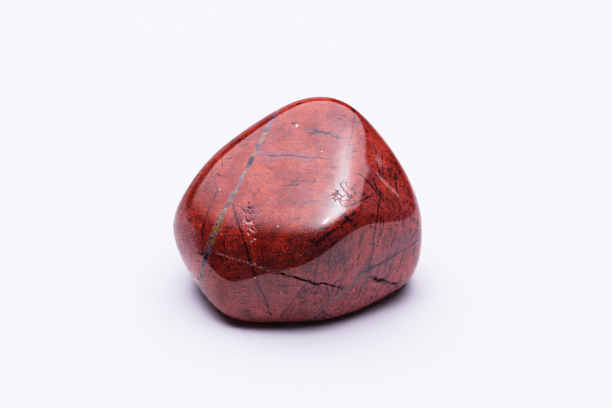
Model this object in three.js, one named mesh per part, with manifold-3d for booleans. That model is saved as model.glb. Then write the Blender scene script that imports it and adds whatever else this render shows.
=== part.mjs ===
// A tumbled and polished stone of brecciated jasper, about 32 mm long: one solid.
//
// The stone is an irregular block whose worn faces run into each other in wide, soft curves. Each
// face is a plane, given by the direction it faces and its distance from one point inside the
// stone, its heart. Along a direction u the planes are met at the distances d_i / (n_i . u), and the
// surface lies at their soft minimum
//
//     radius(u) = ( sum over i of max(0, n_i . u / d_i) ^ ROUNDING ) ^ (-1 / ROUNDING)
//
// so that a face stays nearly flat in its middle and every edge and corner between faces is round.
// The underside is cut off flat, which is the spot the stone rests on. An open fissure, a shorter
// rough crack and a few worn pits are cut into the surface.
//
// Millimetres. +X is the stone's long way, -Y is its broad front, +Z is up.

import * as THREE from 'three';
import { mergeVertices } from 'three/addons/utils/BufferGeometryUtils.js';
import Module from 'manifold-3d';

// Driving dimensions

const HEART = new THREE.Vector3(-0.075, 1.755, 10.4); // the point that the faces are measured from
const ROUNDING = 14; // how tightly the faces run into each other: higher is sharper
const CELLS = 24; // grid cells along each side of the cube that the surface is drawn from
const GRID_TURN = 12; // degrees the grid is turned about +Z, clear of the stone's main edges
const WELD = 1e-5; // points closer than this are one point
const PROBE = 0.01; // radians stepped to each side to find a surface normal
const KEEL_LIFT = 0.35; // how far a groove's cutter stands above the surface
const FLOOR_BLOCK = 60; // side of the block that cuts the underside flat
const FLOOR_BLOCK_DEPTH = 10;

// The worn faces: azimuth from +X towards +Y and elevation in degrees, then the distance in mm.
const FACES = [
  [245, 56, 8.8], // the broad top face, which slopes down to the front left
  [250, 16, 12.55], // the brow under it
  [272, -18, 14.0], // front
  [301, -3, 13.1], // front right
  [318, 43, 13.3], // upper right
  [6, 2, 15.9], // right end
  [20, 29, 15.2], // right shoulder
  [35, 43, 15.35], // right side of the crown
  [345, -22, 18.7], // lower right end
  [95, 60, 14.9], // crown
  [143, 46, 12.4], // upper left
  [164, 27, 13.6], // left shoulder
  [193, -14, 16.8], // left end
  [215, 0, 15.7], // left front
  [268, -50, 16.6], // under the front
  [316, -48, 15.7], // under the right
  [206, -40, 16.2], // under the left
  [92, 5, 9.5], // back
  [140, -20, 13.0], // back left
  [36, 8, 12.9], // back right
  [80, -45, 11.5], // under the back
  [0, -90, 10.75], // underside
];

// The open fissure across the front, from left to right: azimuth, elevation, width and depth.
const FISSURE = [
  [225, 0.5, 0.1, 0.15],
  [235, -0.5, 0.22, 0.25],
  [245, -1, 0.26, 0.3],
  [253, -2.5, 0.24, 0.35],
  [261, -3.5, 0.32, 0.5],
  [268, -4.5, 0.38, 0.6],
  [275.5, -7.5, 0.44, 0.65],
  [279.5, -10.5, 0.5, 0.6],
  [284.5, -11, 0.42, 0.5],
  [292, -15.5, 0.3, 0.35],
  [298, -19, 0.1, 0.15],
];

// The short rough crack low on the right.
const CRACK = [
  [316, -18, 0.1, 0.15],
  [319.5, -19, 0.42, 0.35],
  [322.5, -20.5, 0.36, 0.4],
  [327.5, -23.5, 0.5, 0.4],
  [333.5, -26.5, 0.1, 0.15],
];

// Worn pits: azimuth, elevation, length, width and depth.
const PITS = [
  [225, 26, 0.9, 0.5, 0.16],
  [229.5, 22, 0.8, 0.55, 0.18],
  [236, 18, 1.0, 0.6, 0.2],
  [241.5, 14, 0.9, 0.55, 0.18],
  [223, 12.5, 0.45, 0.4, 0.15],
  [192, -1, 1.1, 0.6, 0.28],
  [207, -16, 0.7, 0.5, 0.2],
  [214.5, -17.5, 0.6, 0.5, 0.18],
];

// The worn surface

/** The unit vector at an azimuth from +X towards +Y and an elevation, both in degrees. */
function direction(azimuth, elevation) {
  const a = THREE.MathUtils.degToRad(azimuth);
  const e = THREE.MathUtils.degToRad(elevation);
  return new THREE.Vector3(Math.cos(e) * Math.cos(a), Math.cos(e) * Math.sin(a), Math.sin(e));
}

const planes = FACES.map(([azimuth, elevation, distance]) =>
  direction(azimuth, elevation).divideScalar(distance));

/** The distance from the heart to the surface along the unit vector u: the formula above. */
function radius(u) {
  const terms = planes.map((plane) => Math.max(0, plane.dot(u)) ** ROUNDING);
  return terms.reduce((sum, term) => sum + term) ** (-1 / ROUNDING);
}

/** The surface point along the unit vector u. */
function surfacePoint(u) {
  return u.clone().multiplyScalar(radius(u)).add(HEART);
}

/** The outward normal at the surface point along u, from short steps to its four sides. */
function surfaceNormal(u) {
  const helper = Math.abs(u.z) < 0.9 ? new THREE.Vector3(0, 0, 1) : new THREE.Vector3(1, 0, 0);
  const east = new THREE.Vector3().crossVectors(helper, u).normalize();
  const north = new THREE.Vector3().crossVectors(u, east);
  const stepped = (side, step) => surfacePoint(u.clone().addScaledVector(side, step).normalize());
  const eastward = stepped(east, PROBE).sub(stepped(east, -PROBE));
  const northward = stepped(north, PROBE).sub(stepped(north, -PROBE));
  return eastward.cross(northward).normalize();
}

/** The stone before it is cut: a cube's grid with each point pushed out to the surface. */
function bodyGeometry() {
  const cube = new THREE.BoxGeometry(2, 2, 2, CELLS, CELLS, CELLS);
  cube.deleteAttribute('normal');
  cube.deleteAttribute('uv');
  const body = mergeVertices(cube, WELD);
  const position = body.getAttribute('position');
  const turn = new THREE.Matrix4().makeRotationZ(THREE.MathUtils.degToRad(GRID_TURN));
  const evenAngle = (value) => Math.tan((value * Math.PI) / 4); // gives every cell a like angle
  const u = new THREE.Vector3();
  for (let i = 0; i < position.count; i += 1) {
    u.fromBufferAttribute(position, i);
    u.set(evenAngle(u.x), evenAngle(u.y), evenAngle(u.z)).normalize().applyMatrix4(turn);
    position.setXYZ(i, ...surfacePoint(u).toArray());
  }
  return body;
}

// The cutters

/** A V-shaped keel along a path on the surface, pointed at both ends: it cuts a groove. */
function grooveCutter(path) {
  const places = path.map(([azimuth, elevation, width, depth]) => {
    const u = direction(azimuth, elevation);
    return { point: surfacePoint(u), normal: surfaceNormal(u), width, depth };
  });
  const first = places[0];
  const last = places[places.length - 1];
  const sections = places.length - 2; // each one a triangle: the keel's foot and its two top edges
  const points = [first.point.clone().addScaledVector(first.normal, KEEL_LIFT / 2)];
  for (let i = 1; i <= sections; i += 1) {
    const { point, normal, width, depth } = places[i];
    const along = places[i + 1].point.clone().sub(places[i - 1].point);
    const side = new THREE.Vector3().crossVectors(normal, along).normalize();
    const topHalfWidth = ((width / 2) * (depth + KEEL_LIFT)) / depth;
    const top = point.clone().addScaledVector(normal, KEEL_LIFT);
    points.push(point.clone().addScaledVector(normal, -depth));
    points.push(top.clone().addScaledVector(side, topHalfWidth));
    points.push(top.clone().addScaledVector(side, -topHalfWidth));
  }
  points.push(last.point.clone().addScaledVector(last.normal, KEEL_LIFT / 2));

  const corner = (section, k) => 1 + 3 * (section - 1) + (k % 3);
  const triangles = [];
  for (let k = 0; k < 3; k += 1) {
    triangles.push(0, corner(1, k), corner(1, k + 1));
    for (let i = 1; i < sections; i += 1) {
      triangles.push(corner(i, k), corner(i + 1, k), corner(i + 1, k + 1));
      triangles.push(corner(i, k), corner(i + 1, k + 1), corner(i, k + 1));
    }
    triangles.push(points.length - 1, corner(sections, k + 1), corner(sections, k));
  }
  return new THREE.BufferGeometry().setFromPoints(points).setIndex(triangles);
}

/** A lens that cuts one pit. Its middle stands one depth above the surface, at half its height. */
function pitCutter([azimuth, elevation, length, width, depth]) {
  const u = direction(azimuth, elevation);
  const normal = surfaceNormal(u);
  const rimShare = Math.sqrt(3) / 2; // of the lens's full size, where it passes the surface
  const lens = new THREE.IcosahedronGeometry(1, 1);
  lens.scale(length / 2 / rimShare, width / 2 / rimShare, depth * 2);
  lens.applyMatrix4(new THREE.Matrix4().lookAt(normal, new THREE.Vector3(), THREE.Object3D.DEFAULT_UP));
  lens.translate(...surfacePoint(u).addScaledVector(normal, depth).toArray());
  return lens;
}

/** The block under the floor, which leaves the flat spot. */
function floorCutter() {
  const block = new THREE.BoxGeometry(FLOOR_BLOCK, FLOOR_BLOCK, FLOOR_BLOCK_DEPTH);
  return block.translate(0, 0, -FLOOR_BLOCK_DEPTH / 2);
}

// Cutting

const wasm = await Module();
wasm.setup();

/** Six times the volume that indexed triangles enclose: negative if they face inward. */
function signedVolume(position, index) {
  const [a, b, c] = [new THREE.Vector3(), new THREE.Vector3(), new THREE.Vector3()];
  let sum = 0;
  for (let i = 0; i < index.length; i += 3) {
    a.fromBufferAttribute(position, index[i]);
    b.fromBufferAttribute(position, index[i + 1]);
    c.fromBufferAttribute(position, index[i + 2]);
    sum += a.dot(b.cross(c));
  }
  return sum;
}

/** A closed three.js geometry as a solid to cut or to cut with, its faces turned outward. */
function toSolid(geometry) {
  geometry.deleteAttribute('normal');
  geometry.deleteAttribute('uv');
  const merged = mergeVertices(geometry, WELD);
  const position = merged.getAttribute('position');
  const index = Array.from(merged.index.array);
  if (signedVolume(position, index) < 0) index.reverse();
  return new wasm.Manifold(new wasm.Mesh({
    numProp: 3,
    vertProperties: new Float32Array(position.array),
    triVerts: new Uint32Array(index),
  }));
}

/** A cut solid's surface as a three.js geometry. */
function toGeometry(solid) {
  const mesh = solid.getMesh();
  const geometry = new THREE.BufferGeometry();
  geometry.setAttribute('position', new THREE.BufferAttribute(mesh.vertProperties, mesh.numProp));
  geometry.setIndex(new THREE.BufferAttribute(mesh.triVerts, 1));
  geometry.computeVertexNormals();
  return geometry;
}

const cutters = [floorCutter(), grooveCutter(FISSURE), grooveCutter(CRACK), ...PITS.map(pitCutter)];
const cutStone = cutters.reduce(
  (solid, cutter) => solid.subtract(toSolid(cutter)),
  toSolid(bodyGeometry()),
);

// The stone

const polishedJasper = new THREE.MeshStandardMaterial({
  color: 0x9a2f26,
  roughness: 0.12,
  metalness: 0,
});

const stone = new THREE.Mesh(toGeometry(cutStone), polishedJasper);
stone.name = 'jasper_stone';

const object = new THREE.Group();
object.name = 'brecciated_jasper';
object.add(stone);

export default object;
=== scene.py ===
"""A tumbled and polished brecciated jasper stone, dressed for its portrait.

The stone is one worn block: the faces that tumbling rounded into each other, an open fissure, a
short rough crack and a few pits. Its finish is a red, iron-rich jasper, broken long ago and healed
by pale and dark veins that cross the whole stone as thin sheets.

The stone and its finish are given in millimetres, measured from the stone's heart, and the studio
in metres. All meshes are made in metres. A direction is an azimuth from +X towards +Y and an
elevation, both in degrees.
"""

import functools
import logging
import math
from abc import ABC, abstractmethod
from dataclasses import dataclass, field
from enum import Enum
from typing import ClassVar, Mapping, Sequence, Union

import bmesh
import bpy
import numpy as np
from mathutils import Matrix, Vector


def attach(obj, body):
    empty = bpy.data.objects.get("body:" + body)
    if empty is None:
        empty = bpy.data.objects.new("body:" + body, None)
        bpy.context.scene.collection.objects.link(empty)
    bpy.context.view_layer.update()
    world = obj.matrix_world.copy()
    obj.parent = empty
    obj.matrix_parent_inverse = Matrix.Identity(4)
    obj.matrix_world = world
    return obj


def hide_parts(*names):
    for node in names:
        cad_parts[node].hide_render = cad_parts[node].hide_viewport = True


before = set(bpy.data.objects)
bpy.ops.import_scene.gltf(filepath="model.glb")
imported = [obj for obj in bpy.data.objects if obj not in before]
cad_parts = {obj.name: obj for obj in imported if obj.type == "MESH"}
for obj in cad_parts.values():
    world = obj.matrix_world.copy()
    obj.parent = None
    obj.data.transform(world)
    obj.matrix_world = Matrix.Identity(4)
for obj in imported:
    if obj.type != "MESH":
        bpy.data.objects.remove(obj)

log = logging.getLogger("jasper")

MM = 0.001
STONE_NODE = "jasper_stone"
STONE_PIECE = "polished_stone"
# How broken the surface is, which also sets the painted shade in grooves and pits.
BROKEN_AND_SHADED = "broken"
CHIPPED = "chipped"

Array = np.ndarray
Pair = tuple[float, float]
Ramp = tuple[float, float, float, float]
Extent = tuple[float, float, float, float]
Colour = tuple[float, float, float, float]
Socket = bpy.types.NodeSocket
Value = Union[float, Sequence[float], Socket]


# Directions, noise and lines

def unit(azimuth: float, elevation: float = 0.0) -> Array:
    """The unit vector at an azimuth from +X towards +Y and an elevation, both in degrees."""
    a, e = math.radians(azimuth), math.radians(elevation)
    return np.array([math.cos(e) * math.cos(a), math.cos(e) * math.sin(a), math.sin(e)])


def lattice_noise(points: Array, cell: float, seed: int) -> Array:
    """Smooth noise from -1 to 1 at points in space.

    Each corner of a cubic lattice holds a random value, and a point takes the average of its cell's
    eight corners, weighted along each axis by the smooth step 3t^2 - 2t^3.

    Args:
        points: Places, one a row.
        cell: Side of a lattice cell, in the points' unit.
        seed: Chooses the random values.

    Returns:
        One value a point.
    """
    period = 32
    corners = np.random.default_rng(seed).uniform(-1.0, 1.0, (period, period, period))
    scaled = points / cell
    low = np.floor(scaled).astype(int)
    share = scaled - low
    share = share * share * (3.0 - 2.0 * share)
    total = np.zeros(len(points))
    for corner in np.ndindex(2, 2, 2):
        step = np.array(corner)
        weight = np.prod(np.where(step, share, 1.0 - share), axis=1)
        index = (low + step) % period
        total += weight * corners[index[:, 0], index[:, 1], index[:, 2]]
    return total


def line_gap(points: Array, start: Array, end: Array) -> Array:
    """How far points are from the straight line between two places.

    Args:
        points: Places, one a row.
        start: The line's first end.
        end: Its last end.

    Returns:
        Each point's distance to the nearest place on the line.
    """
    along = end - start
    share = np.clip((points - start) @ along / (along @ along), 0.0, 1.0)
    return np.linalg.norm(points - start - share[:, None] * along, axis=1)


# The worn block

@dataclass(frozen=True)
class Face:
    """One worn face: the direction it faces and its distance from the heart."""

    azimuth: float
    elevation: float
    distance: float


@dataclass(frozen=True)
class WornBlock:
    """The rounded block of stone, as one distance from its heart in every direction."""

    heart: tuple[float, float, float] = (-0.075, 1.755, 10.4)
    rounding: float = 14.0
    least_fall: float = 1e-6
    faces: tuple[Face, ...] = (
        Face(245, 56, 8.8),
        Face(250, 16, 12.55),
        Face(272, -18, 14.0),
        Face(301, -3, 13.1),
        Face(318, 43, 13.3),
        Face(6, 2, 15.9),
        Face(20, 29, 15.2),
        Face(35, 43, 15.35),
        Face(345, -22, 18.7),
        Face(95, 60, 14.9),
        Face(143, 46, 12.4),
        Face(164, 27, 13.6),
        Face(193, -14, 16.8),
        Face(215, 0, 15.7),
        Face(268, -50, 16.6),
        Face(316, -48, 15.7),
        Face(206, -40, 16.2),
        Face(92, 5, 9.5),
        Face(140, -20, 13.0),
        Face(36, 8, 12.9),
        Face(80, -45, 11.5),
        Face(0, -90, 10.75),
    )

    def radius(self, directions: Array) -> Array:
        """The distance from the heart to the surface.

        A face at distance d that looks along n is met at d / (n . u). The surface is the soft
        minimum of the faces, (sum of max(0, n . u / d)^p)^(-1/p), cut off flat at the floor.

        Args:
            directions: Unit vectors u, one a row.

        Returns:
            One distance a row.
        """
        planes = np.array([unit(f.azimuth, f.elevation) / f.distance for f in self.faces])
        met = np.maximum(directions @ planes.T, 0.0)
        soft = (met**self.rounding).sum(axis=1) ** (-1.0 / self.rounding)
        down = np.maximum(-directions[:, 2], self.least_fall)
        return np.minimum(soft, self.heart[2] / down)

    def point(self, azimuth: float, elevation: float) -> Array:
        """The surface point in a direction, measured from the heart."""
        direction = unit(azimuth, elevation)
        return direction * self.radius(direction[None])[0]


# What is cut into the block

class Cut(ABC):
    """Something worn or broken out of the block. Points are measured from its heart, one a row."""

    @abstractmethod
    def drop(self, block: WornBlock, points: Array) -> Array:
        """How deep the cut is under each point."""

    @abstractmethod
    def near(self, block: WornBlock, points: Array) -> Array:
        """Which points lie so near the cut that the grid is made finer there."""


@dataclass(frozen=True)
class Groove(Cut):
    """An open crack along a path on the surface: azimuth, elevation, width and depth at each point.

    Noise of three sizes makes its walls uneven. wall_noise gives the share of ragged that each size
    adds and its lattice cell, and their seeds count on from the groove's own.
    """

    path: tuple[tuple[float, float, float, float], ...]
    ragged: float
    seed: int
    fine_within: float
    wall_noise: ClassVar[tuple[Pair, ...]] = ((1.0, 0.28), (0.5, 0.12), (0.6, 0.9))

    def nearest(self, block: WornBlock, points: Array) -> tuple[Array, Array, Array]:
        """How far points are from the path, and its width and depth at their nearest place.

        Each stretch of the path is a straight line between two surface points, and a point's
        distance to it is its distance to the nearest place on that line.

        Args:
            block: The block that the path lies on.
            points: Places measured from its heart, one a row.

        Returns:
            Distances, widths and depths, one of each a point.
        """
        marks = np.array([block.point(azimuth, elevation) for azimuth, elevation, _, _ in self.path])
        sizes = np.array([(width, depth) for _, _, width, depth in self.path])
        starts = marks[:-1]
        along = marks[1:] - starts
        offset = points[:, None, :] - starts[None]
        share = np.einsum("psk,sk->ps", offset, along) / (along**2).sum(axis=1)
        share = np.clip(share, 0.0, 1.0)
        gaps = np.linalg.norm(offset - share[..., None] * along[None], axis=2)
        stretch = gaps.argmin(axis=1)
        rows = np.arange(len(points))
        part = share[rows, stretch][:, None]
        size = sizes[stretch] * (1.0 - part) + sizes[stretch + 1] * part
        return gaps[rows, stretch], size[:, 0], size[:, 1]

    def drop(self, block: WornBlock, points: Array) -> Array:
        """How deep the crack is under each point.

        A V whose walls are made uneven by noise: depth x (1 - gap / half width), never below 0.

        Args:
            block: The block that it is cut into.
            points: Places measured from its heart, one a row.

        Returns:
            One depth a point.
        """
        gap, width, depth = self.nearest(block, points)
        uneven = gap
        for size, (share, cell) in enumerate(self.wall_noise):
            uneven = uneven + share * self.ragged * lattice_noise(points, cell, self.seed + size)
        open_share = np.clip(1.0 - uneven / (width / 2.0), 0.0, 1.0)
        return np.where(gap < width, depth * open_share, 0.0)

    def gap(self, block: WornBlock, points: Array) -> Array:
        """How far each point is from the path."""
        return self.nearest(block, points)[0]

    def near(self, block: WornBlock, points: Array) -> Array:
        """Which points lie within the groove's own reach of its path."""
        return self.gap(block, points) < self.fine_within


@dataclass(frozen=True)
class Pit(Cut):
    """A worn pit: its direction, length, width and depth. Noise makes its rim uneven."""

    azimuth: float
    elevation: float
    length: float
    width: float
    depth: float
    rim_share: ClassVar[float] = 0.18
    rim_cell: ClassVar[float] = 0.2
    rim_seed: ClassVar[int] = 41
    fine_reach: ClassVar[float] = 2.0

    def reach(self, block: WornBlock, points: Array) -> Array:
        """Distance from the pit's middle as a share of its rim: 0 in the middle, 1 on the rim.

        It is the length of the offset after each of its parts, across, above and inward, is divided
        by the pit's half length, half width and length.

        Args:
            block: The block that it is worn into.
            points: Places measured from its heart, one a row.

        Returns:
            One share a point.
        """
        middle = block.point(self.azimuth, self.elevation)
        outward = middle / np.linalg.norm(middle)
        level = np.cross((0.0, 0.0, 1.0), outward)
        level /= np.linalg.norm(level)
        upward = np.cross(outward, level)
        offset = points - middle
        across = offset @ level / (self.length / 2.0)
        above = offset @ upward / (self.width / 2.0)
        inward = offset @ outward / self.length
        return np.sqrt(across**2 + above**2 + inward**2)

    def drop(self, block: WornBlock, points: Array) -> Array:
        """How deep the pit is under each point: depth x (1 - reach^2), with an uneven rim."""
        uneven = self.rim_share * lattice_noise(points, self.rim_cell, self.rim_seed)
        return self.depth * np.clip(1.0 - (self.reach(block, points) + uneven) ** 2, 0.0, 1.0)

    def near(self, block: WornBlock, points: Array) -> Array:
        """Which points lie in the pit or round it."""
        return self.reach(block, points) < self.fine_reach


@dataclass(frozen=True)
class PittedPatch(Cut):
    """A patch of small worn pits along a line between two directions.

    small_noise is the share and the cell of its finer noise, against the coarser one's. The pits
    are what rises over level, softly over softness, once swell_share of the swell is added.
    """

    start: Pair
    end: Pair
    half_width: float
    cell: float
    depth: float
    seed: int
    small_noise: ClassVar[Pair] = (0.6, 0.45)
    swell_share: ClassVar[float] = 0.55
    level: ClassVar[float] = 0.5
    softness: ClassVar[float] = 0.45
    fine_margin: ClassVar[float] = 0.3

    def gap(self, block: WornBlock, points: Array) -> Array:
        """How far each point is from the patch's middle line."""
        return line_gap(points, block.point(*self.start), block.point(*self.end))

    def drop(self, block: WornBlock, points: Array) -> Array:
        """How deep the patch is worn under each point.

        Noise of two sizes is added to a swell of 1 - (gap / half width)^2, and what rises over a
        level is a pit: small pits crowd near the middle line and thin out towards the edge.

        Args:
            block: The block that it is worn into.
            points: Places measured from its heart, one a row.

        Returns:
            One depth a point.
        """
        swell = 1.0 - (self.gap(block, points) / self.half_width) ** 2
        share, finer = self.small_noise
        rough = lattice_noise(points, self.cell, self.seed)
        rough += share * lattice_noise(points, self.cell * finer, self.seed + 1)
        hollow = np.clip((rough + self.swell_share * swell - self.level) / self.softness, 0.0, 1.0)
        return self.depth * np.where(swell > 0.0, hollow, 0.0)

    def near(self, block: WornBlock, points: Array) -> Array:
        """Which points lie in the patch or just outside it."""
        return self.gap(block, points) < self.half_width + self.fine_margin


@dataclass(frozen=True)
class Ridge:
    """A low swell along a line between two directions: height and half width."""

    start: Pair
    end: Pair
    height: float
    half_width: float

    def rise(self, block: WornBlock, points: Array) -> Array:
        """How far the swell stands up: height x exp(-(gap / half width)^2)."""
        gap = line_gap(points, block.point(*self.start), block.point(*self.end))
        return self.height * np.exp(-((gap / self.half_width) ** 2))


# Shader building

class Graph:
    """Adds nodes to one node tree and links them."""

    def __init__(self, tree: bpy.types.NodeTree) -> None:
        """Works on a tree, which may be a material's, a world's or a group's."""
        self.tree = tree

    def feed(self, socket: Socket, value: Value) -> None:
        """Links a socket to another, or sets its value.

        Args:
            socket: The input to feed.
            value: Another node's output, or a number, vector or colour.
        """
        if isinstance(value, Socket):
            self.tree.links.new(value, socket)
        else:
            socket.default_value = value

    def add(self, kind: str, inputs: Mapping[Union[str, int], Value], **settings: object) -> bpy.types.Node:
        """Adds a node.

        Args:
            kind: The node's type.
            inputs: Values or sockets for its inputs, by name or number.
            **settings: The node's own properties.

        Returns:
            The new node.
        """
        node = self.tree.nodes.new(kind)
        for name, setting in settings.items():
            setattr(node, name, setting)
        for key, value in inputs.items():
            self.feed(node.inputs[key], value)
        return node

    def math(self, operation: str, *values: Value) -> Socket:
        """A Math node's result."""
        return self.add("ShaderNodeMath", dict(enumerate(values)), operation=operation).outputs[0]

    def vector(self, operation: str, *values: Value) -> Socket:
        """A Vector Math node's vector."""
        return self.add("ShaderNodeVectorMath", dict(enumerate(values)), operation=operation).outputs[0]

    def measure(self, operation: str, *values: Value) -> Socket:
        """A Vector Math node's number."""
        node = self.add("ShaderNodeVectorMath", dict(enumerate(values)), operation=operation)
        return node.outputs["Value"]

    def dot(self, first: Value, second: Value) -> Socket:
        """The dot product of two vectors."""
        return self.measure("DOT_PRODUCT", first, second)

    def scaled(self, vector: Value, amount: Value) -> Socket:
        """A vector times a number."""
        node = self.add("ShaderNodeVectorMath", {0: vector, "Scale": amount}, operation="SCALE")
        return node.outputs[0]

    def product(self, *factors: Value) -> Value:
        """Several values multiplied together."""
        return functools.reduce(functools.partial(self.math, "MULTIPLY"), factors)

    def total(self, *parts: Value) -> Value:
        """Several values added together."""
        return functools.reduce(functools.partial(self.math, "ADD"), parts)

    def largest(self, *masks: Value) -> Value:
        """The largest of several values."""
        return functools.reduce(functools.partial(self.math, "MAXIMUM"), masks)

    def step(
        self, value: Value, low: Value, high: Value, first: float = 0.0, last: float = 1.0
    ) -> Socket:
        """A smooth step from first, where value is low or under, to last, where it is high or over."""
        inputs = {"Value": value, "From Min": low, "From Max": high, "To Min": first, "To Max": last}
        return self.add("ShaderNodeMapRange", inputs, interpolation_type="SMOOTHSTEP").outputs[0]

    def noise(
        self, position: Value, scale: Value, detail: float, roughness: float, coloured: bool = False
    ) -> Socket:
        """Noise from 0 to 1 at a position, as a number or as a colour."""
        inputs = {"Vector": position, "Scale": scale, "Detail": detail, "Roughness": roughness}
        return self.add("ShaderNodeTexNoise", inputs).outputs[1 if coloured else 0]

    def blend(self, share: Value, first: Value, second: Value, mode: str = "MIX") -> Socket:
        """Two colours mixed: first where share is 0, second where it is 1."""
        inputs = {0: share, 6: first, 7: second}
        return self.add("ShaderNodeMix", inputs, data_type="RGBA", blend_type=mode).outputs[2]

    def mixed(self, share: Value, first: bpy.types.Node, second: bpy.types.Node) -> bpy.types.Node:
        """Two shaders mixed: first where share is 0, second where it is 1."""
        return self.add("ShaderNodeMixShader", {0: share, 1: first.outputs[0], 2: second.outputs[0]})


def emptied(owner: Union[bpy.types.Material, bpy.types.World]) -> Graph:
    """Makes a material or a world ready for nodes of its own.

    Args:
        owner: The new material or world, whose first nodes are taken out.

    Returns:
        The graph to fill it with.
    """
    owner.use_nodes = True
    owner.node_tree.nodes.clear()
    return Graph(owner.node_tree)


class NodeGroup(ABC):
    """A shader node group with one output, built once and placed wherever it is needed.

    inputs gives each input's name and default: a number, or three of them for a vector.
    """

    title: ClassVar[str]
    inputs: ClassVar[Mapping[str, Value]]
    output: ClassVar[str] = "Mask"
    output_kind: ClassVar[str] = "NodeSocketFloat"
    origin: ClassVar[tuple[float, float, float]] = (0.0, 0.0, 0.0)

    @abstractmethod
    def wire(self, graph: Graph, given: Mapping[str, Socket]) -> Socket:
        """Makes the group's inside from its inputs and returns what goes to its output."""

    def tree(self) -> bpy.types.NodeTree:
        """The group's node tree, made on its first use.

        Returns:
            The one tree that every place of the group shares.
        """
        made = bpy.data.node_groups.get(self.title)
        if made is not None:
            return made
        tree = bpy.data.node_groups.new(self.title, "ShaderNodeTree")
        for name, default in self.inputs.items():
            kind = "NodeSocketFloat" if isinstance(default, float) else "NodeSocketVector"
            socket = tree.interface.new_socket(name=name, in_out="INPUT", socket_type=kind)
            socket.default_value = default
        tree.interface.new_socket(name=self.output, in_out="OUTPUT", socket_type=self.output_kind)
        graph = Graph(tree)
        entry = graph.add("NodeGroupInput", {})
        result = self.wire(graph, {name: entry.outputs[name] for name in self.inputs})
        graph.add("NodeGroupOutput", {self.output: result})
        return tree

    def place(self, graph: Graph, *values: Value) -> Socket:
        """Places the group, with values for its inputs in their order, and returns its output."""
        return graph.add("ShaderNodeGroup", dict(enumerate(values)), node_tree=self.tree()).outputs[0]


class Wander(NodeGroup):
    """Moves positions a little, so that what is drawn on them wanders."""

    title = "wander"
    inputs = {"Position": NodeGroup.origin, "Scale": 1.0, "Amount": 0.1}
    output = "Moved"
    output_kind = "NodeSocketVector"
    grey: ClassVar[tuple[float, float, float]] = (0.5, 0.5, 0.5)

    def wire(self, graph: Graph, given: Mapping[str, Socket]) -> Socket:
        """Position + Amount x 2 x (noise colour - 0.5).

        Args:
            graph: The group's own nodes.
            given: Its inputs, by name.

        Returns:
            The moved position.
        """
        place = (given["Position"], given["Scale"])
        noise = graph.noise(*place, detail=3.0, roughness=0.55, coloured=True)
        centred = graph.vector("SUBTRACT", noise, self.grey)
        shift = graph.scaled(centred, graph.product(given["Amount"], 2.0))
        return graph.vector("ADD", given["Position"], shift)


class VeinSheet(NodeGroup):
    """A thin healed crack: a flat sheet through the stone, over a stretch of its run."""

    title = "vein sheet"
    inputs = {
        "Position": NodeGroup.origin,
        "Facing": (1.0, 0.0, 0.0),
        "Distance": 0.0,
        "Run": (0.0, 0.0, 1.0),
        "Start": -20.0,
        "End": 20.0,
        "Half Width": 0.1,
        "Softness": 0.04,
        "Unevenness": 0.8,
        "Swell": 0.0,
        "Breaks": 0.0,
    }
    taper: ClassVar[float] = 0.6

    def wire(self, graph: Graph, given: Mapping[str, Socket]) -> Socket:
        """A smooth line where |Position . Facing - Distance| is small, between Start and End.

        Swell widens it and Breaks fade it, each as far as Unevenness lets it.

        Args:
            graph: The group's own nodes.
            given: Its inputs, by name.

        Returns:
            1 in the vein and 0 beside it.
        """
        reach = graph.dot(given["Position"], given["Facing"])
        gap = graph.math("ABSOLUTE", graph.math("SUBTRACT", reach, given["Distance"]))
        widened = graph.total(graph.product(given["Swell"], given["Unevenness"]), 1.0)
        half = graph.product(given["Half Width"], widened)
        line = graph.step(gap, half, graph.total(half, given["Softness"]), 1.0, 0.0)
        run = graph.dot(given["Position"], given["Run"])
        begun = graph.step(run, graph.math("SUBTRACT", given["Start"], self.taper), given["Start"])
        ended = graph.step(run, given["End"], graph.total(given["End"], self.taper), 1.0, 0.0)
        filled = graph.math("SUBTRACT", 1.0, graph.product(given["Breaks"], given["Unevenness"]))
        return graph.product(line, begun, ended, filled)


class Fleck(NodeGroup):
    """Irregular patches."""

    title = "fleck"
    inputs = {"Position": NodeGroup.origin, "Scale": 1.0, "Low": 0.5, "High": 0.6}

    def wire(self, graph: Graph, given: Mapping[str, Socket]) -> Socket:
        """A smooth step of noise between Low and High."""
        noise = graph.noise(given["Position"], given["Scale"], detail=5.0, roughness=0.6)
        return graph.step(noise, given["Low"], given["High"])


class Streak(NodeGroup):
    """Fine streaks along one direction, as in banded iron."""

    title = "streak"
    inputs = {
        "Position": NodeGroup.origin,
        "Direction": (0.0, 0.0, 1.0),
        "Stretch": 8.0,
        "Scale": 3.0,
        "Low": 0.5,
        "High": 0.6,
    }

    def wire(self, graph: Graph, given: Mapping[str, Socket]) -> Socket:
        """Noise on positions squeezed along Direction by Stretch, between Low and High.

        Args:
            graph: The group's own nodes.
            given: Its inputs, by name.

        Returns:
            1 in a streak and 0 beside it.
        """
        along = graph.dot(given["Position"], given["Direction"])
        kept = graph.math("SUBTRACT", 1.0, graph.math("DIVIDE", 1.0, given["Stretch"]))
        squeeze = graph.scaled(given["Direction"], graph.product(along, kept))
        squeezed = graph.vector("SUBTRACT", given["Position"], squeeze)
        noise = graph.noise(squeezed, given["Scale"], detail=4.0, roughness=0.6)
        return graph.step(noise, given["Low"], given["High"])


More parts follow.
